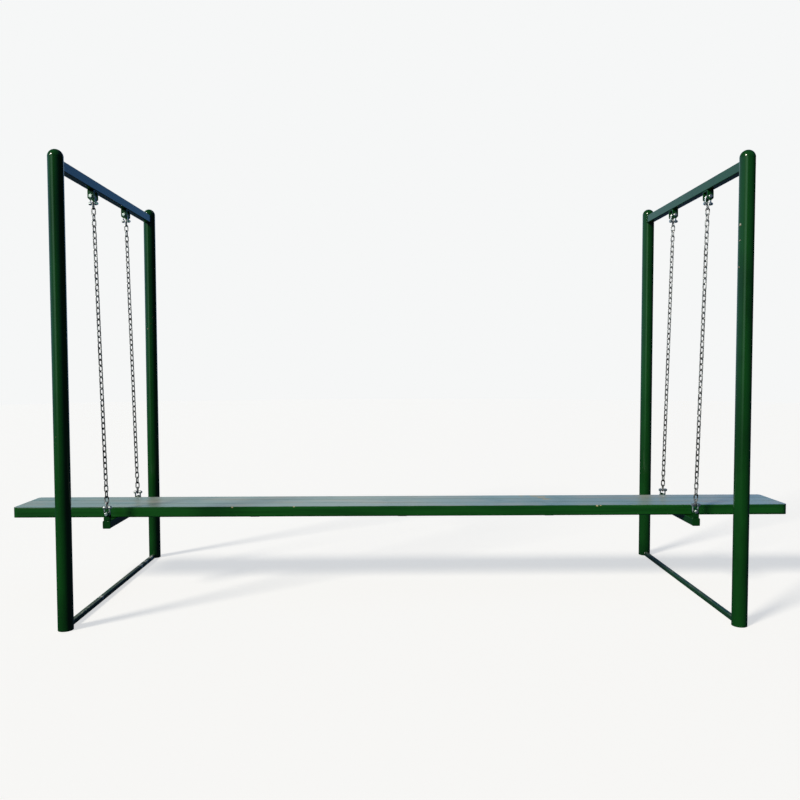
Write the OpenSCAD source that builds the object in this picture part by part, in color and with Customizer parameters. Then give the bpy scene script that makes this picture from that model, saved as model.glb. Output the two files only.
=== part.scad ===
// Hanging balance platform: a plank deck slung on four chains between two tubular end frames.
// Millimetres. X runs along the deck, Y from the front to the back, Z up from the ground.
// The origin is on the ground under the middle of the deck.

/* [End frames] */
// Distance between the two end frames, post axis to post axis
frame_span = 4000; // [3980:10:4300]
// Distance between the front and back posts of a frame, axis to axis
frame_depth = 1730; // [1500:10:2200]
// Height of a post with its dome
post_height = 2800; // [2500:10:3200]
// Outside diameter of a post
post_d = 89; // [60:1:120]
// Wall of a post
post_wall = 4; // [2:0.5:6]
// Wall of the domed cap
cap_wall = 3; // [2:0.5:5]
// Depth that the cap's spigot reaches into the post
spigot_depth = 25; // [10:1:60]
// Width of the top beam
beam_w = 50; // [40:1:60]
// Height of the top beam
beam_h = 60; // [40:1:70]
// Wall of the top beam
beam_wall = 3; // [2:0.5:5]
// Top of the beam below the top of the dome
beam_drop = 53; // [50:1:150]
// Width and height of the square ground tie
tie_w = 30; // [20:1:45]
// Wall of the ground tie
tie_wall = 2.5; // [1.5:0.5:4]

/* [Hangers] */
// Distance between the front and back chains
chain_spacing = 620; // [580:10:900]
// Width of a hanger bracket across the beam
bracket_w = 42; // [34:1:50]
// Length of a hanger bracket along the beam
bracket_l = 74; // [50:1:90]
// Thickness of the bracket's flat steel
bracket_t = 6; // [4:0.5:8]
// Hanger bolt's axis below the beam
bolt_drop = 41; // [28:1:45]
// Bracket's ear below the bolt's axis
ear_below = 24; // [16:1:26]
// Cut on the lower corners of an ear
ear_chamfer = 12; // [4:1:14]
// Diameter of the hanger and lug bolts
bolt_d = 12; // [10:1:14]

/* [Shackles] */
// Wire of a shackle's bow, and thickness of its eyes
bow_wire = 10; // [8:0.5:11]
// Inside width of a shackle
jaw = 24; // [18:1:28]
// Shackle pin's axis to the inside of the bow
shackle_reach = 48; // [44:1:60]
// Outside diameter of a shackle's eye
eye_d = 22; // [18:1:24]
// Diameter of a shackle's pin
pin_d = 10; // [8:0.5:10]

/* [Chains] */
// Wire of a chain link
link_wire = 8; // [6:0.5:9]
// Inside width of a chain link
link_inner_w = 15; // [12:0.5:16]
// Length that each link adds to the chain
link_pitch = 37.6; // [33:0.1:39]
// Number of links in a chain, an odd number
link_count = 53; // [41:2:59]
// Turn of a chain about its own line, between its end links
chain_turn = 25; // [0:5:60]
// Number of links over which each end of a chain takes up that turn
turn_links = 6; // [4:1:12]

/* [Platform] */
// Length of the deck
deck_l = 5250; // [4400:10:6000]
// Width of the deck
deck_w = 413; // [380:1:500]
// Thickness of the deck
deck_t = 69; // [50:1:80]
// Gap between neighbouring planks
plank_gap = 2; // [1:0.5:5]
// Radius of the deck's corners, seen from above
corner_r = 45; // [20:1:60]
// Radius of the deck's long edges
edge_r = 8; // [3:1:15]
// Radius of the planks' edges beside a gap
joint_r = 2; // [1:0.5:5]
// Distance between the two crossbars, axis to axis
crossbar_spacing = 3894; // [3700:2:3960]
// Length of a crossbar with its end plates
crossbar_l = 660; // [660:10:760]
// Width of a crossbar
crossbar_w = 50; // [44:1:60]
// Height of a crossbar
crossbar_h = 50; // [40:1:60]
// Wall of a crossbar
crossbar_wall = 3; // [2:0.5:4]
// Thickness of the plates that close a crossbar
end_plate_t = 3; // [2:0.5:6]
// Width of a lug
lug_w = 36; // [30:1:40]
// Gap between the two ears of a lug
lug_gap = 26; // [18:1:28]
// Thickness of a lug's flat steel
lug_t = 6; // [4:0.5:6]
// Lug bolt's axis above the crossbar
lug_bolt_h = 45; // [36:1:60]

/* [Deck fixings] */
// Diameter of the deck bolts
deck_bolt_d = 10; // [8:1:12]
// Head of a deck bolt
deck_head_d = 22; // [18:1:24]
// Distance between the two deck bolts of a plank at one crossbar
deck_bolt_pitch = 66; // [40:1:80]
// Distance between neighbouring straps
strap_pitch = 1000; // [600:10:1500]
// Width of a strap
strap_w = 60; // [50:1:80]
// Thickness of a strap
strap_t = 6; // [4:1:8]
// How far a strap stays back from the deck's long edges
strap_inset = 30; // [20:1:40]
// Diameter of the strap screws
screw_d = 8; // [6:1:10]
// Depth that a strap screw reaches into a plank
screw_depth = 44; // [30:1:46]

/* [Hidden] */
$fn = 48;

// Running gaps: between a piece and what carries it, beside a pin, and at a welded tube's end
seat = 0.35;
pin_fit = 0.1;
weld_gap = 0.2;

// Hexagon bolts, screws and nuts by their diameter
function across_flats(d) = 1.5 * d + 1;
function head_height(d) = 0.62 * d;
function nut_height(d) = 0.8 * d;
function washer_d(d) = 2 * d;
washer_t = 2.5;
thread_proud = 3;
bolt_tip = 1;
bolt_hole_d = bolt_d + 1;
deck_hole_d = deck_bolt_d + 1;
// Hole in a crossbar's lower wall that a socket passes through to a deck nut
socket_hole_d = 26;

// Heights of the frame
dome_h = post_d / 2;
tube_top = post_height - dome_h;
beam_top = post_height - beam_drop;
beam_bottom = beam_top - beam_h;
bolt_z = beam_bottom - bolt_drop;
chain_y = chain_spacing / 2;

// A suspension, measured along its own line from the hanger bolt down to the lug bolt
link_inner_l = link_pitch + seat;
shackle_drop = shackle_reach - bolt_d / 2 - seat;
pin_to_pin = (link_count - 1) * link_pitch + link_inner_l - pin_d - 2 * seat;
hang_length = 2 * shackle_drop + pin_to_pin;
crossbar_x = crossbar_spacing / 2;
lean = asin((frame_span / 2 - crossbar_x) / hang_length);

// Heights of the platform
lug_bolt_z = bolt_z - hang_length * cos(lean);
crossbar_top = lug_bolt_z - lug_bolt_h;
deck_bottom = crossbar_top;
deck_top = deck_bottom + deck_t;
lug_l = lug_gap + 2 * lug_t;

// Each corner: side along X, side along Y, name
corners = [
  [-1, -1, "left_front"], [-1, 1, "left_back"],
  [1, -1, "right_front"], [1, 1, "right_back"]
];
// Each end: side along X, name
ends = [[-1, "left"], [1, "right"]];
// Planks side by side, and straps along the deck
plank_names = ["front", "middle", "back"];
plank_w = (deck_w - 2 * plank_gap) / 3;
plank_rows = [for (i = [-1:1]) i * (plank_w + plank_gap)];
strap_places = [for (i = [-1:1]) i * strap_pitch];

// Shared shapes

// Rectangle centred on the origin, with one radius at its left corners and one at its right
module rounded_rectangle(w, h, left_r, right_r) {
  difference() {
    square([w, h], center = true);
    for (y = [-1, 1]) {
      translate([-w / 2, y * h / 2]) square(2 * left_r, center = true);
      translate([w / 2, y * h / 2]) square(2 * right_r, center = true);
    }
  }
  for (y = [-1, 1]) {
    translate([-w / 2 + left_r, y * (h / 2 - left_r)]) circle(left_r);
    translate([w / 2 - right_r, y * (h / 2 - right_r)]) circle(right_r);
  }
}

// Tube along Y, its corners rolled to twice its wall
module box_tube(w, h, wall, l) {
  rotate([90, 0, 0]) linear_extrude(l, center = true) difference() {
    rounded_rectangle(w, h, 2 * wall, 2 * wall);
    rounded_rectangle(w - 2 * wall, h - 2 * wall, wall, wall);
  }
}

// Rectangle that stands on the X axis, with its lower corners rounded
module round_footed(w, h, r) {
  translate([-w / 2, r]) square([w, h - r]);
  translate([r - w / 2, 0]) square([w - 2 * r, r]);
  for (x = [-1, 1]) translate([x * (w / 2 - r), r]) circle(r);
}

// Flat steel bent into a U that stands on z = 0: w wide, l over its two ears, h high
module bent_u(w, l, h, t) {
  bend_r = 1.5 * t;
  rotate([90, 0, 90]) linear_extrude(w, center = true) difference() {
    round_footed(l, h, bend_r);
    translate([0, t]) round_footed(l - 2 * t, h, bend_r - t);
  }
}

// Hexagon from z = 0, the corners of its far face bevelled
module hexagon(af, h) {
  rim_d = 0.95 * af;
  intersection() {
    cylinder(d = af / cos(30), h = h, $fn = 6);
    cylinder(d1 = rim_d + 2 * h / tan(30), d2 = rim_d, h = h);
  }
}

// Bolt along +Z with the underside of its head at z = 0
module hex_bolt(d, l) {
  rotate([180, 0, 0]) hexagon(across_flats(d), head_height(d));
  cylinder(d = d, h = l - bolt_tip);
  translate([0, 0, l - bolt_tip]) cylinder(d1 = d, d2 = d - 2 * bolt_tip, h = bolt_tip);
}

// Nut that sits on z = 0
module hex_nut(d) {
  difference() {
    hexagon(across_flats(d), nut_height(d));
    translate([0, 0, -1]) cylinder(d = d + 2 * pin_fit, h = nut_height(d) + 2);
  }
}

module washer(d) {
  difference() {
    cylinder(d = washer_d(d), h = washer_t);
    translate([0, 0, -1]) cylinder(d = d + 2 * pin_fit, h = washer_t + 2);
  }
}

// Bolt, washers and nut across a pair of ears whose outer faces are l apart, along +Y
module ear_bolt(l) {
  translate([0, -l / 2 - washer_t, 0]) rotate([-90, 0, 0])
    hex_bolt(bolt_d, l + 2 * washer_t + nut_height(bolt_d) + thread_proud);
}

module ear_washers(l) {
  for (y = [-l / 2 - washer_t, l / 2]) translate([0, y, 0]) rotate([-90, 0, 0]) washer(bolt_d);
}

module ear_nut(l) {
  translate([0, l / 2 + washer_t, 0]) rotate([-90, 0, 0]) hex_nut(bolt_d);
}

// End frames

module at_post(sx, sy) {
  translate([sx * frame_span / 2, sy * frame_depth / 2, 0]) children();
}

module post(sx, sy) {
  color("darkgreen") at_post(sx, sy) difference() {
    cylinder(d = post_d, h = tube_top, $fn = 96);
    translate([0, 0, -1]) cylinder(d = post_d - 2 * post_wall, h = tube_top + 2, $fn = 96);
  }
}

// Quarter of a disc, from its base at a height
module quarter_disc(r, base) {
  intersection() {
    circle(r = r);
    translate([0, base]) square(r);
  }
}

// Domed shell whose shoulder sits on the post's rim, with a spigot inside the post
module post_cap(sx, sy) {
  spigot_r = post_d / 2 - post_wall - pin_fit;
  color("darkgreen") at_post(sx, sy) translate([0, 0, tube_top])
    rotate_extrude($fn = 96) difference() {
      union() {
        quarter_disc(dome_h, 0);
        translate([0, -spigot_depth]) square([spigot_r, spigot_depth + cap_wall]);
      }
      quarter_disc(dome_h - cap_wall, cap_wall);
      translate([0, -spigot_depth - 1])
        square([spigot_r - cap_wall, spigot_depth + cap_wall + 2]);
    }
}

// Tube from the front post to the back post, its ends cut to the round of the posts
module cross_tube(sx, w, h, wall, z) {
  difference() {
    translate([sx * frame_span / 2, 0, z]) box_tube(w, h, wall, frame_depth);
    for (sy = [-1, 1]) at_post(sx, sy)
      cylinder(d = post_d + 2 * weld_gap, h = post_height, $fn = 96);
  }
}

module top_beam(sx) {
  color("darkgreen") cross_tube(sx, beam_w, beam_h, beam_wall, (beam_top + beam_bottom) / 2);
}

module ground_tie(sx) {
  color("darkslategray") cross_tube(sx, tie_w, tie_w, tie_wall, tie_w / 2);
}

// Hangers

module at_hanger(sx, sy) {
  translate([sx * frame_span / 2, sy * chain_y, bolt_z]) children();
}

// Side view of a hanger bracket, with its lower corners cut off
module bracket_outline() {
  w = bracket_w / 2;
  c = ear_chamfer;
  polygon([
    [-w, bolt_drop], [-w, c - ear_below], [c - w, -ear_below],
    [w - c, -ear_below], [w, c - ear_below], [w, bolt_drop]
  ]);
}

module hanger_bracket(sx, sy) {
  color("darkgreen") at_hanger(sx, sy) difference() {
    intersection() {
      translate([0, 0, bolt_drop]) rotate([180, 0, 0])
        bent_u(bracket_w, bracket_l, bolt_drop + ear_below, bracket_t);
      rotate([90, 0, 0]) linear_extrude(bracket_l + 2, center = true) bracket_outline();
    }
    rotate([90, 0, 0]) cylinder(d = bolt_hole_d, h = bracket_l + 2, center = true);
  }
}

module hanger_bolts() {
  color("silver") for (c = corners) at_hanger(c[0], c[1]) ear_bolt(bracket_l);
}

module hanger_washers() {
  color("silver") for (c = corners) at_hanger(c[0], c[1]) ear_washers(bracket_l);
}

module hanger_nuts() {
  color("silver") for (c = corners) at_hanger(c[0], c[1]) ear_nut(bracket_l);
}

// Suspensions

// Frame of a suspension: the hanger bolt's axis is at its origin and the chain runs down -Z
module at_suspension(sx, sy, drop) {
  at_hanger(sx, sy) rotate([0, sx * lean, 0]) translate([0, 0, -drop]) children();
}

// Shackle bow with its pin's axis along X through the origin and its crown up
module bow() {
  leg_x = (jaw + bow_wire) / 2;
  crown_z = shackle_reach - jaw / 2;
  color("silver") difference() {
    union() {
      translate([0, 0, crown_z]) rotate([90, 0, 0])
        rotate_extrude(angle = 180) translate([leg_x, 0]) circle(d = bow_wire);
      for (x = [-1, 1]) translate([x * leg_x, 0, 0]) {
        cylinder(d = bow_wire, h = crown_z);
        rotate([0, 90, 0]) cylinder(d = eye_d, h = bow_wire, center = true);
      }
    }
    rotate([0, 90, 0]) cylinder(d = pin_d + 2 * pin_fit, h = jaw + 2 * bow_wire + 2, center = true);
  }
}

// Shackle pin along X with its nut
module pin() {
  grip = jaw + 2 * bow_wire;
  color("silver") {
    translate([-grip / 2, 0, 0]) rotate([0, 90, 0])
      hex_bolt(pin_d, grip + nut_height(pin_d) + thread_proud);
    translate([grip / 2, 0, 0]) rotate([0, 90, 0]) hex_nut(pin_d);
  }
}

module top_bow(sx, sy) {
  at_suspension(sx, sy, shackle_drop) bow();
}

module top_pin(sx, sy) {
  at_suspension(sx, sy, shackle_drop) pin();
}

module low_bow(sx, sy) {
  at_suspension(sx, sy, shackle_drop + pin_to_pin) rotate([180, 0, 0]) bow();
}

module low_pin(sx, sy) {
  at_suspension(sx, sy, shackle_drop + pin_to_pin) pin();
}

// One link in the XZ plane, centred on the origin
module link() {
  side_x = (link_inner_w + link_wire) / 2;
  straight = link_inner_l - link_inner_w;
  for (s = [-1, 1]) {
    translate([s * side_x, 0, 0]) cylinder(d = link_wire, h = straight, center = true, $fn = 24);
    translate([0, 0, s * straight / 2]) rotate([s * 90, 0, 0])
      rotate_extrude(angle = 180, $fn = 24) translate([side_x, 0]) circle(d = link_wire);
  }
}

// Turn of a chain's link, from 0 at both ends to the chain's whole turn
function link_turn(i) = chain_turn * min(1, i / turn_links, (link_count - 1 - i) / turn_links);

module chain(sx, sy) {
  first = pin_d / 2 + seat - link_inner_l / 2;
  color("lightgray") at_suspension(sx, sy, shackle_drop)
    for (i = [0:link_count - 1]) translate([0, 0, first - i * link_pitch])
      rotate([0, 0, (i % 2 == 0 ? 90 : 0) + sx * link_turn(i)]) link();
}

// Platform

module at_lug(sx, sy) {
  translate([sx * crossbar_x, sy * chain_y, lug_bolt_z]) children();
}

// Places of the deck bolts, on the deck's top
module at_deck_bolts() {
  for (e = ends, y = plank_rows, s = [-1, 1])
    translate([e[0] * crossbar_x, y + s * deck_bolt_pitch / 2, deck_top]) children();
}

// Places of the strap screws, on the deck's underside
module at_strap_screws() {
  for (x = strap_places, y = plank_rows, s = [-1, 1])
    translate([x + s * strap_w / 4, y, deck_bottom]) children();
}

// Countersunk deck bolt of length l hanging down from the origin
module deck_bolt(l, shank_d, head_d) {
  head_h = (head_d - shank_d) / 2;
  translate([0, 0, -head_h]) cylinder(d1 = shank_d, d2 = head_d, h = head_h);
  translate([0, 0, -l]) cylinder(d = shank_d, h = l - head_h / 2);
}

module deck_plank(row) {
  front_r = row == 0 ? edge_r : joint_r;
  back_r = row == 2 ? edge_r : joint_r;
  color("darkgreen") difference() {
    translate([0, 0, (deck_bottom + deck_top) / 2]) intersection() {
      translate([0, plank_rows[row], 0]) rotate([90, 0, 90])
        linear_extrude(deck_l, center = true) rounded_rectangle(plank_w, deck_t, front_r, back_r);
      linear_extrude(deck_t + 2, center = true)
        rounded_rectangle(deck_l, deck_w, corner_r, corner_r);
      rotate([90, 0, 0]) linear_extrude(deck_w + 2, center = true)
        rounded_rectangle(deck_l, deck_t, edge_r, edge_r);
    }
    at_deck_bolts() {
      deck_bolt(deck_t + 1, deck_hole_d, deck_head_d + 2 * seat);
      cylinder(d = deck_head_d + 2 * seat, h = 1);
    }
    at_strap_screws() translate([0, 0, -1])
      cylinder(d = screw_d + 2 * pin_fit, h = screw_depth + 1 + seat);
  }
}

module crossbar(sx) {
  color("darkgreen") difference() {
    translate([sx * crossbar_x, 0, crossbar_top - crossbar_h / 2])
      box_tube(crossbar_w, crossbar_h, crossbar_wall, crossbar_l - 2 * end_plate_t);
    at_deck_bolts() translate([0, 0, -deck_t - crossbar_wall - 1])
      cylinder(d = deck_hole_d, h = crossbar_wall + 2);
    at_deck_bolts() translate([0, 0, -deck_t - crossbar_h - 1])
      cylinder(d = socket_hole_d, h = crossbar_wall + 2);
  }
}

module crossbar_end_plates() {
  color("darkgreen") for (c = corners) translate([
    c[0] * crossbar_x, c[1] * (crossbar_l - end_plate_t) / 2, crossbar_top - crossbar_h / 2
  ]) rotate([90, 0, 0]) linear_extrude(end_plate_t, center = true)
    rounded_rectangle(crossbar_w, crossbar_h, 2 * crossbar_wall, 2 * crossbar_wall);
}

module lug(sx, sy) {
  color("darkgreen") at_lug(sx, sy) difference() {
    intersection() {
      translate([0, 0, -lug_bolt_h]) bent_u(lug_w, lug_l, lug_bolt_h + lug_w / 2, lug_t);
      rotate([90, 0, 0]) linear_extrude(lug_l + 2, center = true) {
        circle(d = lug_w);
        translate([-lug_w / 2, -lug_bolt_h]) square([lug_w, lug_bolt_h]);
      }
    }
    rotate([90, 0, 0]) cylinder(d = bolt_hole_d, h = lug_l + 2, center = true);
  }
}

module lug_bolts() {
  color("silver") for (c = corners) at_lug(c[0], c[1]) ear_bolt(lug_l);
}

module lug_washers() {
  color("silver") for (c = corners) at_lug(c[0], c[1]) ear_washers(lug_l);
}

module lug_nuts() {
  color("silver") for (c = corners) at_lug(c[0], c[1]) ear_nut(lug_l);
}

// Below the deck's top: the deck, the crossbar's upper wall, a washer and a nut
deck_grip = deck_t + crossbar_wall;

module deck_bolts() {
  l = deck_grip + washer_t + nut_height(deck_bolt_d) + thread_proud;
  color("darkgreen") at_deck_bolts() deck_bolt(l, deck_bolt_d, deck_head_d);
}

module deck_washers() {
  color("silver") at_deck_bolts() translate([0, 0, -deck_grip - washer_t]) washer(deck_bolt_d);
}

module deck_nuts() {
  color("silver") at_deck_bolts()
    translate([0, 0, -deck_grip - washer_t]) rotate([180, 0, 0]) hex_nut(deck_bolt_d);
}

module deck_straps() {
  color("dimgray") difference() {
    for (x = strap_places) translate([x, 0, deck_bottom - strap_t / 2])
      cube([strap_w, deck_w - 2 * strap_inset, strap_t], center = true);
    at_strap_screws() translate([0, 0, -strap_t - 1])
      cylinder(d = screw_d + 2 * pin_fit, h = strap_t + 2);
  }
}

module strap_screws() {
  color("silver") at_strap_screws() translate([0, 0, -strap_t])
    hex_bolt(screw_d, strap_t + screw_depth);
}

for (c = corners) {
  post(c[0], c[1]);
  post_cap(c[0], c[1]);
  hanger_bracket(c[0], c[1]);
  top_bow(c[0], c[1]);
  top_pin(c[0], c[1]);
  chain(c[0], c[1]);
  low_bow(c[0], c[1]);
  low_pin(c[0], c[1]);
  lug(c[0], c[1]);
}
for (e = ends) {
  top_beam(e[0]);
  ground_tie(e[0]);
  crossbar(e[0]);
}
for (i = [0:2])
  deck_plank(i);
hanger_bolts();
hanger_washers();
hanger_nuts();
crossbar_end_plates();
lug_bolts();
lug_washers();
lug_nuts();
deck_bolts();
deck_washers();
deck_nuts();
deck_straps();
strap_screws();
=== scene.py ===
import math
import bpy
import bmesh
from mathutils import Matrix, Vector


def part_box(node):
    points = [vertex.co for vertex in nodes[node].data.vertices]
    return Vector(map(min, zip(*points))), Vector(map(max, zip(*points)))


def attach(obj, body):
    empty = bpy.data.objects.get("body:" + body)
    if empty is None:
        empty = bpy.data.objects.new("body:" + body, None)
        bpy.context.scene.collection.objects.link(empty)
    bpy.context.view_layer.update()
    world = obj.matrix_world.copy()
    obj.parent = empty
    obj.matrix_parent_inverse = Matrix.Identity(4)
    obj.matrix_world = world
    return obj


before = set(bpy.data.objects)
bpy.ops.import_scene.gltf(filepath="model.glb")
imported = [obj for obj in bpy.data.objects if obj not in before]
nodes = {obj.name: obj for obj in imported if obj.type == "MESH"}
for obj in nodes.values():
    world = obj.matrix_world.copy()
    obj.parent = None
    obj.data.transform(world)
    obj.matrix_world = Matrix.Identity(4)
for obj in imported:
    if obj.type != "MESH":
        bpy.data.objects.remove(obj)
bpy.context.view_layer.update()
print("frame:", len(nodes), "nodes from the packed model")

corners = [end + "_" + row for end in ("left", "right") for row in ("front", "back")]
planks = ["deck_plank_front", "deck_plank_middle", "deck_plank_back"]

# Camera, a little left of the middle at about eye height
view = {
    "place": (-0.0779, -5.3884, 1.5586),  # metres
    "turn": 0.6986,     # degrees to the right of straight ahead
    "tilt": 2.6151,     # degrees down
    "roll": 0.1288,     # degrees clockwise
    "lens": 34.778,     # mm
    "sensor": 36,       # mm
}


def makeCamera():
    turn, tilt, roll = (math.radians(view[angle]) for angle in ("turn", "tilt", "roll"))
    ahead = Vector((math.sin(turn) * math.cos(tilt), math.cos(turn) * math.cos(tilt), -math.sin(tilt)))
    level = Vector((math.cos(turn), -math.sin(turn), 0))
    down = ahead.cross(level)
    right = math.cos(roll) * level + math.sin(roll) * down
    up = math.sin(roll) * level - math.cos(roll) * down
    data = bpy.data.cameras.new("camera")
    data.lens = view["lens"]
    data.sensor_width = view["sensor"]
    camera = bpy.data.objects.new("camera", data)
    axes = Matrix((right, up, -ahead)).transposed()
    camera.matrix_world = Matrix.Translation(view["place"]) @ axes.to_4x4()
    bpy.context.scene.collection.objects.link(camera)
    bpy.context.scene.camera = camera


# Helpers for materials

def toLinear(hexColour):
    channels = [int(hexColour[i:i + 2], 16) / 255 for i in (1, 3, 5)]
    linear = [c / 12.92 if c <= 0.04045 else ((c + 0.055) / 1.055) ** 2.4 for c in channels]
    return (*linear, 1)


# A setting is an attribute of the node, or the name or number of an input. A link comes from the given
# output, or from the first output of the given node
def addNode(tree, kind, settings={}, links={}):
    node = tree.nodes.new(kind)
    for key, value in settings.items():
        if isinstance(key, str) and hasattr(node, key):
            setattr(node, key, value)
        else:
            node.inputs[key].default_value = value
    for key, source in links.items():
        output = source if isinstance(source, bpy.types.NodeSocket) else source.outputs[0]
        tree.links.new(output, node.inputs[key])
    return node


def startMaterial(name):
    material = bpy.data.materials.new(name)
    material.use_nodes = True
    tree = material.node_tree
    tree.nodes.clear()
    place = addNode(tree, "ShaderNodeTexCoord").outputs["Object"]  # the frame's own metres
    return material, tree, place


def finishMaterial(tree, settings, links):
    shader = addNode(tree, "ShaderNodeBsdfPrincipled", settings, links)
    addNode(tree, "ShaderNodeOutputMaterial", {}, {"Surface": shader})


# Noise in patches of about size mm, each axis stretched by its own factor
def patches(tree, place, size, detail=3, stretched=(1, 1, 1)):
    shrunk = [1 / factor for factor in stretched]
    scaled = addNode(tree, "ShaderNodeMapping", {"Scale": shrunk}, {"Vector": place})
    return addNode(tree, "ShaderNodeTexNoise",
                   {"Scale": 1000 / size, "Detail": detail, "Roughness": 0.6}, {"Vector": scaled})


# 0 on walls and undersides and 1 on a face that looks up; the span is of its normal's upward part
def facingUp(tree, span):
    normal = addNode(tree, "ShaderNodeNewGeometry").outputs["Normal"]
    upward = addNode(tree, "ShaderNodeSeparateXYZ", {}, {0: normal}).outputs["Z"]
    return addNode(tree, "ShaderNodeMapRange", span, {"Value": upward})


# Paint knocked off in ragged flakes. Each span is of the noise, and a narrow one gives a crisp edge
flaking = {
    "scattered": {"From Min": 0.64, "From Max": 0.67},
    "regions": 30,          # times as wide as a flake: the areas with flakes and those without
    "regionEdge": 0.06,     # of the noise, between such areas
    "torn": {"From Min": 0.35, "From Max": 0.6},      # breaks up the flakes that have their own places
    "tornEdge": {"From Min": 0.2, "From Max": 0.26},
}


# A few scattered flakes, fewer with a higher rarity, and one flake at each of the given spots
def flakes(tree, place, size, rarity, spots):
    ragged = patches(tree, place, size, detail=6)
    crisp = addNode(tree, "ShaderNodeMapRange", flaking["scattered"], {"Value": ragged})
    wide = patches(tree, place, flaking["regions"] * size, detail=1)
    region = addNode(tree, "ShaderNodeMapRange",
                     {"From Min": rarity, "From Max": rarity + flaking["regionEdge"]}, {"Value": wide})
    mask = addNode(tree, "ShaderNodeMath", {"operation": "MULTIPLY"}, {0: crisp, 1: region})
    torn = addNode(tree, "ShaderNodeMapRange", flaking["torn"], {"Value": ragged})
    for spot, width in spots:
        radius = width / 2000  # metres
        away = addNode(tree, "ShaderNodeVectorMath", {"operation": "DISTANCE", 1: spot}, {0: place})
        near = addNode(tree, "ShaderNodeMapRange", {"From Min": radius, "From Max": 0},
                       {"Value": away.outputs["Value"]})
        broken = addNode(tree, "ShaderNodeMath", {"operation": "MULTIPLY"}, {0: near, 1: torn})
        flake = addNode(tree, "ShaderNodeMapRange", flaking["tornEdge"], {"Value": broken})
        mask = addNode(tree, "ShaderNodeMath", {"operation": "MAXIMUM"}, {0: mask, 1: flake})
    return mask


# Stage: soft key light from the front left, pale floor, and a dim room with bluish walls to the left
# and behind, whose one bright wall draws the highlight down the posts
studio = {
    "keyTurn": 49,           # degrees left of the front
    "keyHeight": 32,         # degrees above the floor
    "keySoftness": 12,       # degrees across
    "keyStrength": 3.6,
    "keyColour": "#fff6e8",
    "walls": [               # degrees to the right of straight back, and the colour there
        (-180, "#101214"),
        (-166, "#222e3c"),
        (-153, "#a9e2c6"),
        (-141, "#a9e2c6"),
        (-128, "#3a4d65"),
        (-108, "#5c7495"),
        (-60, "#6c84a0"),
        (-22, "#6c8f9f"),
        (-4, "#a5b6be"),
        (10, "#5f87ab"),
        (18, "#3c6795"),
        (26, "#507db6"),
        (35, "#08090b"),
        (95, "#141c24"),
        (150, "#202e46"),
    ],
    "wallStrength": 1.7,
    "ceiling": "#213145",
    "ceilingStart": {"From Min": 0.24, "From Max": 0.5},     # how far up a direction of length 1 points
    "underfoot": "#1b2732",
    "underfootStart": {"From Min": 0.03, "From Max": -0.12},
    "backdrop": "#f6f7f7",   # what the camera sees past the floor
    "floorColour": "#b4b4b2",
    "floorRoughness": 0.9,
    "glowColour": "#ffffff",
    "glow": 0.63,            # keeps the floor pale in the dim room
    "floorRadius": 30,       # metres
    "floorSides": 96,
    "floorDrop": 0.5,        # mm below the posts' feet, whose faces would flicker in the same plane
}


def makeWorld():
    world = bpy.data.worlds.new("studio")
    bpy.context.scene.world = world
    world.use_nodes = True
    tree = world.node_tree
    tree.nodes.clear()
    direction = addNode(tree, "ShaderNodeTexCoord").outputs["Generated"]
    along = addNode(tree, "ShaderNodeSeparateXYZ", {}, {0: direction}).outputs
    angle = addNode(tree, "ShaderNodeMath", {"operation": "ARCTAN2"}, {0: along["X"], 1: along["Y"]})
    turned = addNode(tree, "ShaderNodeMapRange", {"From Min": -math.pi, "From Max": math.pi},
                     {"Value": angle})
    walls = addNode(tree, "ShaderNodeValToRGB", {}, {0: turned})
    stops = walls.color_ramp.elements
    while len(stops) < len(studio["walls"]):
        stops.new(0.5)
    for stop, (turn, colour) in zip(stops, studio["walls"]):
        stop.position = turn / 360 + 0.5
        stop.color = toLinear(colour)
    high = addNode(tree, "ShaderNodeMapRange", studio["ceilingStart"], {"Value": along["Z"]})
    above = addNode(tree, "ShaderNodeMixRGB", {"Color2": toLinear(studio["ceiling"])},
                    {"Fac": high, "Color1": walls})
    low = addNode(tree, "ShaderNodeMapRange", studio["underfootStart"], {"Value": along["Z"]})
    room = addNode(tree, "ShaderNodeMixRGB", {"Color2": toLinear(studio["underfoot"])},
                   {"Fac": low, "Color1": above})
    # The camera sees the plain backdrop, and the object is lit by and mirrors the room
    toCamera = addNode(tree, "ShaderNodeLightPath").outputs["Is Camera Ray"]
    seen = addNode(tree, "ShaderNodeMixRGB", {"Color2": toLinear(studio["backdrop"])},
                   {"Fac": toCamera, "Color1": room})
    strength = addNode(tree, "ShaderNodeMapRange", {"To Min": studio["wallStrength"], "To Max": 1},
                       {"Value": toCamera})
    background = addNode(tree, "ShaderNodeBackground", {}, {"Color": seen, "Strength": strength})
    addNode(tree, "ShaderNodeOutputWorld", {}, {"Surface": background})


def makeKeyLight():
    data = bpy.data.lights.new("key", "SUN")
    data.energy = studio["keyStrength"]
    data.color = toLinear(studio["keyColour"])[:3]
    data.angle = math.radians(studio["keySoftness"])
    key = bpy.data.objects.new("key", data)
    turn, height = math.radians(studio["keyTurn"]), math.radians(studio["keyHeight"])
    level = math.cos(height)
    towards = Vector((-math.sin(turn) * level, -math.cos(turn) * level, math.sin(height)))
    key.rotation_mode = "QUATERNION"
    key.rotation_quaternion = towards.to_track_quat("Z", "Y")
    bpy.context.scene.collection.objects.link(key)


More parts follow.
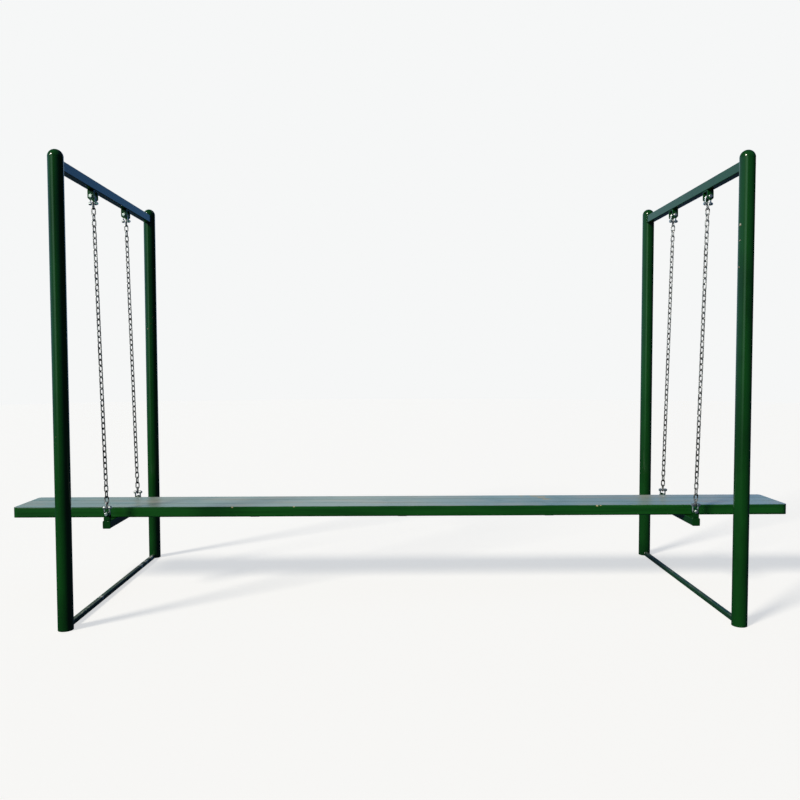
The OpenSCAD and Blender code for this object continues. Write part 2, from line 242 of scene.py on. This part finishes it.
def makeFloor():
    mesh = bpy.data.meshes.new("floor")
    shape = bmesh.new()
    bmesh.ops.create_circle(shape, cap_ends=True, segments=studio["floorSides"],
                            radius=studio["floorRadius"])
    shape.to_mesh(mesh)
    shape.free()
    floor = bpy.data.objects.new("floor", mesh)
    floor.location.z = -studio["floorDrop"] / 1000
    bpy.context.scene.collection.objects.link(floor)
    material, tree = startMaterial("studioFloor")[:2]
    finishMaterial(tree, {"Base Color": toLinear(studio["floorColour"]),
                          "Roughness": studio["floorRoughness"],
                          "Emission Color": toLinear(studio["glowColour"]),
                          "Emission Strength": studio["glow"]}, {})
    mesh.materials.append(material)
    # Seen by the camera alone: the paint mirrors the dark room under foot and not a white floor
    floor.visible_glossy = False
    floor.visible_diffuse = False


# Gloss alkyd enamel sprayed over primer on mild steel: deep green, wet-looking, a little orange peel,
# with small flakes down to pale primer and rust
enamel = {
    "green": "#104315",
    "deepGreen": "#0c3610",
    "mottle": 160,        # mm across
    "mottleStretch": (1, 1, 3),
    "mottleSpan": {"From Min": 0.35, "From Max": 0.6},   # of the noise, from deep green to green
    "orangePeel": 14,     # mm; the real cells are 3 mm and would not show
    "peelDepth": 0.06,    # mm
    "roughness": 0.16,
    "flake": 16,          # mm
    "flakeRarity": 0.66,
    "flakeDepth": 0.3,    # mm
    "flakeSpots": [       # place in metres and width in mm
        ((1.957, -0.874, 2.37), 30),
        ((1.957, -0.874, 2.28), 24),
        ((1.958, -0.872, 2.12), 20),
    ],
    "primer": "#aeb4a6",
    "rust": "#5d3219",
    "rustPatch": 8,       # mm
    "rustSpan": {"From Min": 0.45, "From Max": 0.6},
    "bareRoughness": 0.7,
}


def enamelOnSteel():
    material, tree, place = startMaterial("alkydEnamelOnSteel")
    mottle = patches(tree, place, enamel["mottle"], stretched=enamel["mottleStretch"])
    lighter = addNode(tree, "ShaderNodeMapRange", enamel["mottleSpan"], {"Value": mottle})
    green = addNode(tree, "ShaderNodeMixRGB",
                    {"Color1": toLinear(enamel["deepGreen"]), "Color2": toLinear(enamel["green"])},
                    {"Fac": lighter})
    bare = flakes(tree, place, enamel["flake"], enamel["flakeRarity"], enamel["flakeSpots"])
    stains = patches(tree, place, enamel["rustPatch"], detail=4)
    rusty = addNode(tree, "ShaderNodeMapRange", enamel["rustSpan"], {"Value": stains})
    under = addNode(tree, "ShaderNodeMixRGB",
                    {"Color1": toLinear(enamel["primer"]), "Color2": toLinear(enamel["rust"])},
                    {"Fac": rusty})
    colour = addNode(tree, "ShaderNodeMixRGB", {}, {"Fac": bare, "Color1": green, "Color2": under})
    peel = patches(tree, place, enamel["orangePeel"], detail=1)
    waves = addNode(tree, "ShaderNodeBump", {"Strength": 1, "Distance": enamel["peelDepth"] / 1000},
                    {"Height": peel})
    edges = addNode(tree, "ShaderNodeBump",
                    {"Strength": 1, "Distance": enamel["flakeDepth"] / 1000, "invert": True},
                    {"Height": bare, "Normal": waves})
    rough = addNode(tree, "ShaderNodeMapRange",
                    {"To Min": enamel["roughness"], "To Max": enamel["bareRoughness"]}, {"Value": bare})
    finishMaterial(tree, {"IOR": 1.5}, {"Base Color": colour, "Roughness": rough, "Normal": edges})
    return material


# Scuffed enamel on the ground ties, worn by feet: grey along the top, partly wear and partly a painted
# sky reflection on the top face, scratched down to pale primer, with pale spots on the left tie that
# are partly flakes and partly a painted highlight
tiePaint = {
    "green": "#10391c",
    "roughness": 0.45,
    "topSpan": {"From Min": 0.6, "From Max": 0.9},
    # grey of the top face: partly trodden paint, partly a painted sky reflection
    "troddenAndReflected": "#5f6c60",
    "treadPatch": 140,        # mm
    "treadStretch": (1, 3, 1),
    "treadSpan": {"From Min": 0.38, "From Max": 0.62},
    "troddenRoughness": 0.7,
    "primer": "#c9ccc4",
    "scratchWidth": 7,        # mm
    "scratchStretch": (1, 4, 1),
    "scratchSpan": {"From Min": 0.6, "From Max": 0.64},
    "scratchedWear": {"From Min": 0.2, "From Max": 0.8},  # how trodden a scratched place is
    "flake": 14,              # mm
    "flakeRarity": 0.6,
    "flakeDepth": 0.3,        # mm
    # pale spots on the left tie's top: partly flakes, partly a painted highlight
    "wornAndHighlightSpots": [            # place in metres and width in mm
        ((-2.0, -0.31, 0.03), 70),
        ((-2.0, 0.50, 0.03), 90),
        ((-2.0, 0.62, 0.03), 80),
        ((-2.0, 0.74, 0.03), 110),
    ],
}


def enamelOnTies():
    material, tree, place = startMaterial("scuffedEnamelOnSteel")
    top = facingUp(tree, tiePaint["topSpan"])
    treads = patches(tree, place, tiePaint["treadPatch"], detail=4, stretched=tiePaint["treadStretch"])
    wear = addNode(tree, "ShaderNodeMapRange", tiePaint["treadSpan"], {"Value": treads})
    # top faces get the grey: partly wear, partly a painted sky reflection
    troddenAndReflected = addNode(tree, "ShaderNodeMath", {"operation": "MULTIPLY"}, {0: top, 1: wear})
    green = addNode(tree, "ShaderNodeMixRGB",
                    {"Color1": toLinear(tiePaint["green"]), "Color2": toLinear(tiePaint["troddenAndReflected"])},
                    {"Fac": troddenAndReflected})
    scuffs = patches(tree, place, tiePaint["scratchWidth"], detail=4,
                     stretched=tiePaint["scratchStretch"])
    lines = addNode(tree, "ShaderNodeMapRange", tiePaint["scratchSpan"], {"Value": scuffs})
    worn = addNode(tree, "ShaderNodeMapRange", tiePaint["scratchedWear"], {"Value": troddenAndReflected})
    scratched = addNode(tree, "ShaderNodeMath", {"operation": "MULTIPLY"}, {0: lines, 1: worn})
    flaked = flakes(tree, place, tiePaint["flake"], tiePaint["flakeRarity"], tiePaint["wornAndHighlightSpots"])
    bare = addNode(tree, "ShaderNodeMath", {"operation": "MAXIMUM"}, {0: scratched, 1: flaked})
    colour = addNode(tree, "ShaderNodeMixRGB", {"Color2": toLinear(tiePaint["primer"])},
                     {"Fac": bare, "Color1": green})
    edges = addNode(tree, "ShaderNodeBump",
                    {"Strength": 1, "Distance": tiePaint["flakeDepth"] / 1000, "invert": True},
                    {"Height": bare})
    rough = addNode(tree, "ShaderNodeMapRange",
                    {"To Min": tiePaint["roughness"], "To Max": tiePaint["troddenRoughness"]},
                    {"Value": troddenAndReflected})
    finishMaterial(tree, {"IOR": 1.5}, {"Base Color": colour, "Roughness": rough, "Normal": edges})
    return material


# Softwood planks under several brushed coats of the same enamel: brush lines and a hint of grain along
# the length, flakes down to yellow wood, and a pale grey-blue on the top that is partly dust and partly
# a painted sky reflection
timber = {
    "green": "#17531b",
    "deepGreen": "#104214",
    "grain": 26,            # mm across
    "grainStretch": (40, 1, 1),
    "grainSpan": {"From Min": 0.35, "From Max": 0.6},
    "grainDepth": 0.4,      # mm
    "brushLine": 5,         # mm across; real bristle lines of 1 mm would not show
    "brushStretch": (90, 1, 1),
    "brushDepth": 0.12,     # mm
    "roughness": 0.2,
    "topSpan": {"From Min": 0.85, "From Max": 1},
    # pale grey-blue on the top: partly dust, partly a painted sky reflection
    "dustAndSkyReflection": "#b0c3c2",
    "dustAndReflectionPatch": 420,       # mm
    "dustAndReflectionSpan": {"From Min": 0.75, "From Max": 1, "To Min": 0.45, "To Max": 0.625},
    "dustyRoughness": 0.36,
    "dustSheen": 0.5,
    "sheenRoughness": 0.4,
    # the same rubbed edge also fades the painted sky reflection on the top
    "rubbedEdge": 32,       # mm in from the deck's outline, where hands and feet keep the dust away
    "rubbedPatch": 30,      # mm, what makes the rubbed edge ragged
    "rubbedStretch": (6, 1, 1),
    "rubbedSpan": {"From Min": 0.45, "From Max": 0.95},
    "mud": "#d0cabf",       # dried on from shoes
    "mudPatch": 130,        # mm
    "mudStretch": (3, 1, 1),
    "mudSpan": {"From Min": 0.45, "From Max": 0.65},
    "wood": "#b8aa82",
    "flake": 18,            # mm
    "flakeRarity": 0.68,
    "flakeDepth": 0.5,      # mm
    "flakeSpots": [         # place in metres and width in mm
        ((-1.148, -0.205, 0.6040), 18),
        ((-0.731, -0.205, 0.6040), 20),
        ((1.319, -0.205, 0.6040), 22),
        ((1.344, -0.205, 0.6040), 16),
        ((0.998, 0.127, 0.6049), 120),
        ((0.960, 0.171, 0.6049), 100),
        ((1.027, 0.044, 0.6049), 90),
        ((0.870, 0.166, 0.6049), 70),
    ],
}


# From 0 at the deck's outline, seen from above, to 1 at the rubbed edge's width inwards. The deck is
# centred on the frame's origin, so distances from there serve both sides
def insideDeck(tree, place):
    low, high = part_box(planks[0])[0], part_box(planks[-1])[1]
    away = addNode(tree, "ShaderNodeVectorMath", {"operation": "ABSOLUTE"}, {0: place})
    distances = addNode(tree, "ShaderNodeSeparateXYZ", {}, {0: away}).outputs
    masks = []
    for axis in (0, 1):
        outline = (high[axis] - low[axis]) / 2
        span = {"From Min": outline, "From Max": outline - timber["rubbedEdge"] / 1000}
        masks.append(addNode(tree, "ShaderNodeMapRange", span, {"Value": distances[axis]}))
    return addNode(tree, "ShaderNodeMath", {"operation": "MINIMUM"}, {0: masks[0], 1: masks[1]})


# How dusty the deck is, which is also where the painted sky reflection goes: only on top, less near its
# edges, and streaked by the brush lines
def dustAndReflectionOnDeck(tree, place, brush):
    top = facingUp(tree, timber["topSpan"])
    ragged = patches(tree, place, timber["rubbedPatch"], detail=4, stretched=timber["rubbedStretch"])
    inner = addNode(tree, "ShaderNodeMath", {"operation": "ADD"},
                    {0: insideDeck(tree, place), 1: ragged})
    kept = addNode(tree, "ShaderNodeMapRange", timber["rubbedSpan"], {"Value": inner})
    held = addNode(tree, "ShaderNodeMath", {"operation": "MULTIPLY"}, {0: top, 1: kept})
    drifts = patches(tree, place, timber["dustAndReflectionPatch"])
    streaked = addNode(tree, "ShaderNodeMath", {"operation": "ADD"}, {0: brush, 1: drifts})
    settled = addNode(tree, "ShaderNodeMapRange", timber["dustAndReflectionSpan"], {"Value": streaked})
    return addNode(tree, "ShaderNodeMath", {"operation": "MULTIPLY"}, {0: held, 1: settled})


def enamelOnTimber():
    material, tree, place = startMaterial("brushedEnamelOnSoftwood")
    brush = patches(tree, place, timber["brushLine"], stretched=timber["brushStretch"])
    grain = patches(tree, place, timber["grain"], stretched=timber["grainStretch"])
    lighter = addNode(tree, "ShaderNodeMapRange", timber["grainSpan"], {"Value": grain})
    green = addNode(tree, "ShaderNodeMixRGB",
                    {"Color1": toLinear(timber["deepGreen"]), "Color2": toLinear(timber["green"])},
                    {"Fac": lighter})
    splashes = patches(tree, place, timber["mudPatch"], detail=4, stretched=timber["mudStretch"])
    muddy = addNode(tree, "ShaderNodeMapRange", timber["mudSpan"], {"Value": splashes})
    dirt = addNode(tree, "ShaderNodeMixRGB",
                   {"Color1": toLinear(timber["dustAndSkyReflection"]), "Color2": toLinear(timber["mud"])},
                   {"Fac": muddy})
    # where the top gets its dust and its painted sky reflection
    dustyAndReflecting = dustAndReflectionOnDeck(tree, place, brush)
    dull = addNode(tree, "ShaderNodeMixRGB", {}, {"Fac": dustyAndReflecting, "Color1": green, "Color2": dirt})
    bare = flakes(tree, place, timber["flake"], timber["flakeRarity"], timber["flakeSpots"])
    colour = addNode(tree, "ShaderNodeMixRGB", {"Color2": toLinear(timber["wood"])},
                     {"Fac": bare, "Color1": dull})
    lines = addNode(tree, "ShaderNodeBump", {"Strength": 1, "Distance": timber["brushDepth"] / 1000},
                    {"Height": brush})
    swell = addNode(tree, "ShaderNodeBump", {"Strength": 1, "Distance": timber["grainDepth"] / 1000},
                    {"Height": grain, "Normal": lines})
    edges = addNode(tree, "ShaderNodeBump",
                    {"Strength": 1, "Distance": timber["flakeDepth"] / 1000, "invert": True},
                    {"Height": bare, "Normal": swell})
    matt = addNode(tree, "ShaderNodeMath", {"operation": "MAXIMUM"}, {0: bare, 1: dustyAndReflecting})
    rough = addNode(tree, "ShaderNodeMapRange",
                    {"To Min": timber["roughness"], "To Max": timber["dustyRoughness"]},
                    {"Value": matt})
    sheen = addNode(tree, "ShaderNodeMapRange", {"To Min": 0, "To Max": timber["dustSheen"]},
                    {"Value": dustyAndReflecting})
    finishMaterial(tree, {"IOR": 1.5, "Sheen Tint": toLinear(timber["dustAndSkyReflection"]),
                          "Sheen Roughness": timber["sheenRoughness"]},
                   {"Base Color": colour, "Roughness": rough, "Normal": edges, "Sheen Weight": sheen})
    return material


# Bright zinc plate on bolts, nuts, washers and shackles: bluish silver, slightly cloudy
zincPlate = {
    "silver": "#eff2f4",
    "cloud": "#c9ced2",
    "cloudPatch": 9,      # mm
    "cloudSpan": {"From Min": 0.4, "From Max": 0.7},
    "roughSpan": {"From Min": 0.3, "From Max": 0.8, "To Min": 0.3, "To Max": 0.5},
}


def zincOnSteel():
    material, tree, place = startMaterial("brightZincPlate")
    clouds = patches(tree, place, zincPlate["cloudPatch"], detail=4)
    cloudy = addNode(tree, "ShaderNodeMapRange", zincPlate["cloudSpan"], {"Value": clouds})
    colour = addNode(tree, "ShaderNodeMixRGB",
                     {"Color1": toLinear(zincPlate["silver"]), "Color2": toLinear(zincPlate["cloud"])},
                     {"Fac": cloudy})
    rough = addNode(tree, "ShaderNodeMapRange", zincPlate["roughSpan"], {"Value": clouds})
    finishMaterial(tree, {"Metallic": 1}, {"Base Color": colour, "Roughness": rough})
    return material


# Hot-dip galvanised chain: grey crystals of different tone, with dirt in patches, more of it on the
# lower links that feet and hands reach
galvanised = {
    "silver": "#dadddf",
    "grey": "#999b9c",
    "crystal": 7,           # mm
    "roughSpan": {"To Min": 0.48, "To Max": 0.62},   # from silver to grey crystals
    "dirt": "#201e1c",
    "dirtPatch": 22,        # mm
    "dirtSpan": {"From Min": 0.52, "From Max": 0.68},
    "lowDirt": {"From Min": 2.5, "From Max": 0.7, "To Min": 0, "To Max": 0.14},  # heights in metres
    "dirtyMetallic": 0.2,
}


def galvanisedSteel():
    material, tree, place = startMaterial("galvanisedChainSteel")
    crystals = addNode(tree, "ShaderNodeTexVoronoi", {"Scale": 1000 / galvanised["crystal"]},
                       {"Vector": place}).outputs["Color"]
    tone = addNode(tree, "ShaderNodeSeparateColor", {}, {0: crystals})
    metal = addNode(tree, "ShaderNodeMixRGB",
                    {"Color1": toLinear(galvanised["silver"]), "Color2": toLinear(galvanised["grey"])},
                    {"Fac": tone})
    height = addNode(tree, "ShaderNodeSeparateXYZ", {}, {0: place}).outputs["Z"]
    reached = addNode(tree, "ShaderNodeMapRange", galvanised["lowDirt"], {"Value": height})
    smears = patches(tree, place, galvanised["dirtPatch"], detail=5)
    grime = addNode(tree, "ShaderNodeMath", {"operation": "ADD"}, {0: smears, 1: reached})
    dirty = addNode(tree, "ShaderNodeMapRange", galvanised["dirtSpan"], {"Value": grime})
    colour = addNode(tree, "ShaderNodeMixRGB", {"Color2": toLinear(galvanised["dirt"])},
                     {"Fac": dirty, "Color1": metal})
    metallic = addNode(tree, "ShaderNodeMapRange",
                       {"To Min": 1, "To Max": galvanised["dirtyMetallic"]}, {"Value": dirty})
    rough = addNode(tree, "ShaderNodeMapRange", galvanised["roughSpan"], {"Value": tone})
    finishMaterial(tree, {}, {"Base Color": colour, "Metallic": metallic, "Roughness": rough})
    return material


def paint(material, *names):
    for name in names:
        slots = nodes[name].data.materials
        slots.clear()
        slots.append(material)


# Shapes that follow a line

def boxOf(node):
    low, high = (Vector(corner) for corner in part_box(node))
    return low, high, (low + high) / 2


# Points around a rectangle with rounded corners, anticlockwise from the lower right
def roundedRectangle(halfWidth, halfHeight, radius, stepsPerCorner=6):
    points = []
    for turn, (x, y) in enumerate(((1, -1), (1, 1), (-1, 1), (-1, -1))):
        for step in range(stepsPerCorner + 1):
            angle = math.pi / 2 * (turn - 1 + step / stepsPerCorner)
            points.append((x * (halfWidth - radius) + radius * math.cos(angle),
                           y * (halfHeight - radius) + radius * math.sin(angle)))
    return points


# The same line with its points a step apart
def evenly(points, step, closed):
    line = list(points) + [points[0]] * closed
    spots, left = [], 0
    for start, end in zip(line, line[1:]):
        length = (end - start).length
        while left < length:
            spots.append(start.lerp(end, left / length))
            left += step
        left -= length
    return spots


# A solid drawn along a line. At each distance along it, outline gives a ring of offsets to the side and
# outward, and side is any direction to start from that isn't the line's own
def drawAlong(name, line, closed, side, outline):
    shape = bmesh.new()
    rings, distance, last = [], 0, len(line) - 1
    for i, spot in enumerate(line):
        before = line[i - 1] if closed or i else spot
        after = line[(i + 1) % len(line)] if closed or i < last else spot
        ahead = (after - before).normalized()
        side = (side - side.dot(ahead) * ahead).normalized()
        outward = side.cross(ahead)
        rings.append([shape.verts.new(spot + across * side + out * outward)
                      for across, out in outline(distance)])
        distance += (after - spot).length
    for ring, following in zip(rings, rings[1:] + [rings[0]] * closed):
        for i in range(len(ring)):
            j = (i + 1) % len(ring)
            shape.faces.new((ring[i], ring[j], following[j], following[i]))
    if not closed:
        shape.faces.new(rings[0])
        shape.faces.new(rings[-1])
    bmesh.ops.recalc_face_normals(shape, faces=shape.faces)
    mesh = bpy.data.meshes.new(name)
    shape.to_mesh(mesh)
    shape.free()
    for face in mesh.polygons:
        face.use_smooth = True
    piece = bpy.data.objects.new(name, mesh)
    bpy.context.scene.collection.objects.link(piece)
    return piece


# Weld beads: ripples of weld metal along the lines where two members meet, painted over
weld = {
    "thick": 7,            # mm
    "groundThick": 2.4,    # mm, where the bead is ground down on a crossbar's end
    "capThick": 1.2,       # mm, where it is ground down at a post's cap
    "ripple": 4.5,         # mm from one ripple to the next
    "rippleDepth": 0.28,   # share of the thickness
    "ring": 0.9,           # mm between the rings of the mesh
    "sides": 8,            # of a ring
    "startSide": (0.6, 0.5, 0.62),   # a direction that no bead runs along
    "standoff": 1,         # mm from a face to the middle of the bead on it
    "tubeCorner": 6,       # mm, corner radius of the beams and crossbars
    "tieCorner": 5,        # mm
    "tieEnd": 4,           # mm above the ground, where a tie's bead ends
    "footCorner": 3,       # mm, corner radius of the bead around a bent foot
    "bendReach": 6,        # mm from the end of a bent foot to the bead in its groove
    "bracketInset": 1,     # mm in from the sides of a bracket
    "lugOutset": 0.5,      # mm out from the sides of a lug
    "capPoints": 64,       # around a post's top
}


def makeWeld(name, body, points, closed=True, thick=weld["thick"]):
    def ring(distance):
        ripple = abs(math.sin(math.pi * distance * 1000 / weld["ripple"]))
        radius = thick / 2000 * (1 - weld["rippleDepth"] * ripple)
        angles = [2 * math.pi * i / weld["sides"] for i in range(weld["sides"])]
        return [(radius * math.cos(angle), radius * math.sin(angle)) for angle in angles]

    line = evenly(points, weld["ring"] / 1000, closed)
    piece = drawAlong(name, line, closed, Vector(weld["startSide"]), ring)
    piece.data.materials.append(steelPaint)
    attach(piece, body)


# Where a tube meets the round of a post: all around it, or up one side, over the top and down the other
# side of a tube that lies on the ground
def tubeOnPost(tube, post, corner, onGround):
    low, high, centre = boxOf(tube)
    postLow, postHigh, postCentre = boxOf(post)
    radius = (postHigh.x - postLow.x) / 2
    towards = math.copysign(1, postCentre.y)
    halfWidth, halfHeight = (high.x - low.x) / 2, (high.z - low.z) / 2
    points = []
    for x, z in roundedRectangle(halfWidth, halfHeight, corner / 1000):
        if onGround and z <= -halfHeight + corner / 1000:
            continue
        reach = math.sqrt(radius ** 2 - x ** 2) + weld["standoff"] / 1000
        points.append(Vector((centre.x + x, postCentre.y - towards * reach, centre.z + z)))
    if onGround:
        ends = [point.copy() for point in (points[0], points[-1])]
        for end in ends:
            end.z = low.z + weld["tieEnd"] / 1000
        points = [ends[0]] + points + [ends[1]]
    return points


# Around the foot of a bent strip that stands or hangs on a flat face, outset in mm
def footOutline(node, z, outset):
    low, high, centre = boxOf(node)
    halfWidth = (high.x - low.x) / 2 + outset / 1000
    halfLength = (high.y - low.y) / 2 - weld["bendReach"] / 1000
    outline = roundedRectangle(halfWidth, halfLength, weld["footCorner"] / 1000)
    return [Vector((centre.x + x, centre.y + y, z)) for x, y in outline]


# Around the plate that closes a crossbar's front or back end
def endPlateOutline(crossbar, row):
    low, high, centre = boxOf(crossbar)
    seam = high.y if row == "back" else low.y
    outline = roundedRectangle((high.x - low.x) / 2, (high.z - low.z) / 2, weld["tubeCorner"] / 1000)
    return [Vector((centre.x + x, seam, centre.z + z)) for x, z in outline]


# Around the top of a post, where its cap sits
def capOutline(post):
    low, high, centre = boxOf(post)
    radius = (high.x - low.x) / 2
    angles = [2 * math.pi * i / weld["capPoints"] for i in range(weld["capPoints"])]
    top = Vector((centre.x, centre.y, high.z))
    return [top + Vector((radius * math.cos(angle), radius * math.sin(angle), 0)) for angle in angles]


def makeWelds():
    for corner in corners:
        end, row = corner.split("_")
        beam, tie, post = "top_beam_" + end, "ground_tie_" + end, "post_" + corner
        bracket, lug = "hanger_bracket_" + corner, "lug_" + corner
        underBeam = boxOf(beam)[0].z - weld["standoff"] / 1000
        onCrossbar = boxOf(lug)[0].z + weld["standoff"] / 1000
        makeWeld("weld_beam_" + corner, "end_frames",
                 tubeOnPost(beam, post, weld["tubeCorner"], onGround=False))
        makeWeld("weld_tie_" + corner, "end_frames",
                 tubeOnPost(tie, post, weld["tieCorner"], onGround=True), closed=False)
        makeWeld("weld_bracket_" + corner, "end_frames",
                 footOutline(bracket, underBeam, -weld["bracketInset"]))
        makeWeld("weld_lug_" + corner, "platform", footOutline(lug, onCrossbar, weld["lugOutset"]))
        makeWeld("weld_end_plate_" + corner, "platform", endPlateOutline("crossbar_" + end, row),
                 thick=weld["groundThick"])
        makeWeld("weld_cap_" + corner, "end_frames", capOutline(post), thick=weld["capThick"])


# Joints between the planks: enamel fills the gap to just under the surface, hollow like a meniscus
joint = {
    "sunk": 0.9,       # mm below the planks
    "width": 2.8,      # mm
    "deep": 3,         # mm
    "hollow": 0.3,     # mm
    "edgeRadius": 8,   # mm, the planks' end edges
}


def makeJoints():
    half, sunk = joint["width"] / 2000, joint["sunk"] / 1000
    hollow, deep = joint["hollow"] / 1000, joint["deep"] / 1000
    outline = [(-half, 0), (0, -hollow), (half, 0), (half, -deep), (-half, -deep)]
    for name, front, back in zip(("front", "back"), planks, planks[1:]):
        low, high, centre = boxOf(front)
        y = (high.y + boxOf(back)[0].y) / 2
        halfLength, halfHeight = (high.x - low.x) / 2 - sunk, (high.z - low.z) / 2 - sunk
        around = roundedRectangle(halfLength, halfHeight, joint["edgeRadius"] / 1000 - sunk)
        # Up the right end, along the top and down the left end, without the lower corners between them
        pointsPerCorner = len(around) // 4
        overTop = around[pointsPerCorner - 1:3 * pointsPerCorner + 1]
        line = [Vector((centre.x + x, y, centre.z + z)) for x, z in overTop]
        piece = drawAlong("joint_" + name, line, False, Vector((0, 1, 0)), lambda distance: outline)
        piece.data.materials.append(deckPaint)
        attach(piece, "platform")


makeCamera()
makeWorld()
makeKeyLight()
makeFloor()
bpy.context.scene.view_settings.view_transform = "Standard"
print("stage: camera, light and floor")

steelPaint = enamelOnSteel()
deckPaint = enamelOnTimber()
zinc = zincOnSteel()
for corner in corners:
    paint(steelPaint, *[part + corner for part in ("post_", "post_cap_", "hanger_bracket_", "lug_")])
    paint(zinc, *[part + corner for part in ("top_bow_", "top_pin_", "low_bow_", "low_pin_")])
paint(steelPaint, "top_beam_left", "top_beam_right", "crossbar_left", "crossbar_right")
paint(steelPaint, "crossbar_end_plates", "deck_straps")
paint(enamelOnTies(), "ground_tie_left", "ground_tie_right")
paint(deckPaint, *planks, "deck_bolts")
paint(galvanisedSteel(), *["chain_" + corner for corner in corners])
paint(zinc, "hanger_bolts", "hanger_washers", "hanger_nuts", "lug_bolts", "lug_washers", "lug_nuts")
paint(zinc, "deck_washers", "deck_nuts", "strap_screws")
print("materials: every node is painted or plated")

makeWelds()
makeJoints()
print("pieces: weld beads and the joints between the planks")
